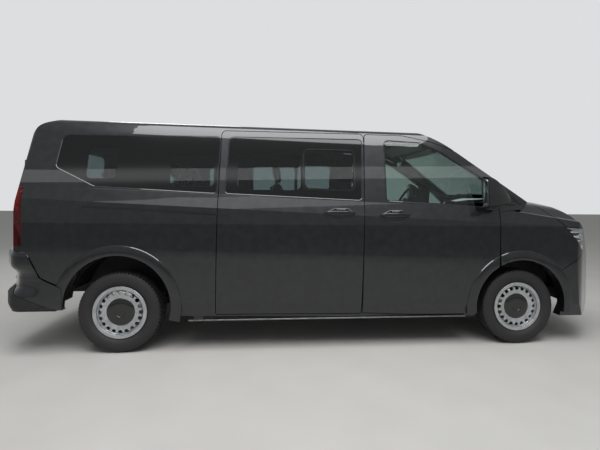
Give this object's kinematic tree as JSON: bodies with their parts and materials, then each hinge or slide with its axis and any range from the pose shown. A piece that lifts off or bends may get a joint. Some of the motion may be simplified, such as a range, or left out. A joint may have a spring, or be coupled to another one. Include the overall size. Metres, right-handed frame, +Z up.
{
  "type": "minibus",
  "caption": "Long-wheelbase panelled minibus with glazed sides, a side sliding door, two rear wing doors, hinged front doors and bonnet, and steered front wheels",
  "frame": {"origin": "on the ground, below the centre of the bounding box", "axes": "+X forward, +Y to the vehicle's left, +Z up"},
  "size_m": [5.4453, 2.274, 1.9899],
  "materials": {
    "body_paint": "dark grey metallic, glossy",
    "black_plastic": "grained",
    "gloss_black": "polished",
    "grey_plastic": "grained",
    "clear_glass": "light green tint",
    "privacy_glass": "dark tint",
    "lamp_glass": "clear lens",
    "red_lens": "polished",
    "seat_fabric": "woven",
    "wheel_steel": "silver paint",
    "tyre_rubber": "matte",
    "chassis_black": "satin",
    "cast_metal": "rough",
    "bare_steel": "dull"
  },
  "bodies": {
    "root": {"body_side_left": "body_paint", "body_side_right": "body_paint", "sliding_door_right": "body_paint", "sliding_door_glass": "privacy_glass", "side_glass": "privacy_glass", "quarter_lights": "clear_glass", "roof_panel": "body_paint", "windscreen": "clear_glass", "cowl_panel": "black_plastic", "front_fender_left": "body_paint", "front_fender_right": "body_paint", "front_bumper": "body_paint", "upper_grille": "gloss_black", "lower_grille": "black_plastic", "rear_bumper": "body_paint", "headlamps": "lamp_glass", "tail_lamps": "red_lens", "floor_pan": "chassis_black", "dashboard": "grey_plastic", "steering_column": "black_plastic", "driver_seat": "seat_fabric", "passenger_seat": "seat_fabric", "second_row_seat": "seat_fabric", "third_row_seat": "seat_fabric", "engine_block": "cast_metal", "fuel_tank": "black_plastic", "exhaust": "bare_steel", "rear_rails": "chassis_black", "front_subframe": "chassis_black", "rear_axle": "chassis_black"},
    "steering_wheel": {"steering_wheel": "black_plastic"},
    "bonnet": {"bonnet": "body_paint"},
    "front_door_left": {"front_door_left": "body_paint", "front_door_glass_left": "clear_glass", "mirror_left": "gloss_black"},
    "rear_door_left": {"rear_door_left": "body_paint", "rear_door_glass_left": "privacy_glass"},
    "knuckle_left": {"knuckle_left": "cast_metal"},
    "wheel_front_left": {"rim_front_left": "wheel_steel", "tyre_front_left": "tyre_rubber"},
    "wheel_rear_left": {"rim_rear_left": "wheel_steel", "tyre_rear_left": "tyre_rubber"},
    "front_door_right": {"front_door_right": "body_paint", "front_door_glass_right": "clear_glass", "mirror_right": "gloss_black"},
    "rear_door_right": {"rear_door_right": "body_paint", "rear_door_glass_right": "privacy_glass"},
    "knuckle_right": {"knuckle_right": "cast_metal"},
    "wheel_front_right": {"rim_front_right": "wheel_steel", "tyre_front_right": "tyre_rubber"},
    "wheel_rear_right": {"rim_rear_right": "wheel_steel", "tyre_rear_right": "tyre_rubber"}
  },
  "joints": [
    {"name": "front_door_left_hinge", "type": "hinge", "parent": "root", "child": "front_door_left", "pos_m": [1.557, 1, 0.9], "axis": [0, 0, -1], "range_deg": [0, 65]},
    {"name": "rear_door_left_hinge", "type": "hinge", "parent": "root", "child": "rear_door_left", "pos_m": [-2.594, 0.775, 1.2], "axis": [-0.0748, 0, -0.9972], "range_deg": [0, 90]},
    {"name": "steer_left", "type": "hinge", "parent": "root", "child": "knuckle_left", "pos_m": [1.765, 0.8, 0.339], "axis": [0, 0, 1], "range_deg": [-33, 33]},
    {"name": "wheel_front_left_spin", "type": "hinge", "parent": "knuckle_left", "child": "wheel_front_left", "pos_m": [1.765, 0.85, 0.339], "axis": [0, 1, 0], "continuous": true},
    {"name": "wheel_rear_left_spin", "type": "hinge", "parent": "root", "child": "wheel_rear_left", "pos_m": [-1.735, 0.85, 0.339], "axis": [0, 1, 0], "continuous": true},
    {"name": "front_door_right_hinge", "type": "hinge", "parent": "root", "child": "front_door_right", "pos_m": [1.557, -1, 0.9], "axis": [0, 0, 1], "range_deg": [0, 65]},
    {"name": "rear_door_right_hinge", "type": "hinge", "parent": "root", "child": "rear_door_right", "pos_m": [-2.594, -0.775, 1.2], "axis": [0.0748, 0, 0.9972], "range_deg": [0, 90]},
    {"name": "steer_right", "type": "hinge", "parent": "root", "child": "knuckle_right", "pos_m": [1.765, -0.8, 0.339], "axis": [0, 0, 1], "range_deg": [-33, 33]},
    {"name": "wheel_front_right_spin", "type": "hinge", "parent": "knuckle_right", "child": "wheel_front_right", "pos_m": [1.765, -0.85, 0.339], "axis": [0, 1, 0], "continuous": true},
    {"name": "wheel_rear_right_spin", "type": "hinge", "parent": "root", "child": "wheel_rear_right", "pos_m": [-1.735, -0.85, 0.339], "axis": [0, 1, 0], "continuous": true},
    {"name": "bonnet_hinge", "type": "hinge", "parent": "root", "child": "bonnet", "pos_m": [1.925, 0, 1.315], "axis": [0, -1, 0], "range_deg": [0, 55]},
    {"name": "steering_wheel_turn", "type": "hinge", "parent": "root", "child": "steering_wheel", "pos_m": [1.085, 0.385, 1.27], "axis": [-0.8829, 0, 0.4695], "range_deg": [-495, 495]}
  ],
  "couplings": [
    {"joint": "steer_right", "follows": "steer_left", "ratio": 1},
    {"joint": "steering_wheel_turn", "follows": "steer_left", "ratio": 15}
  ]
}
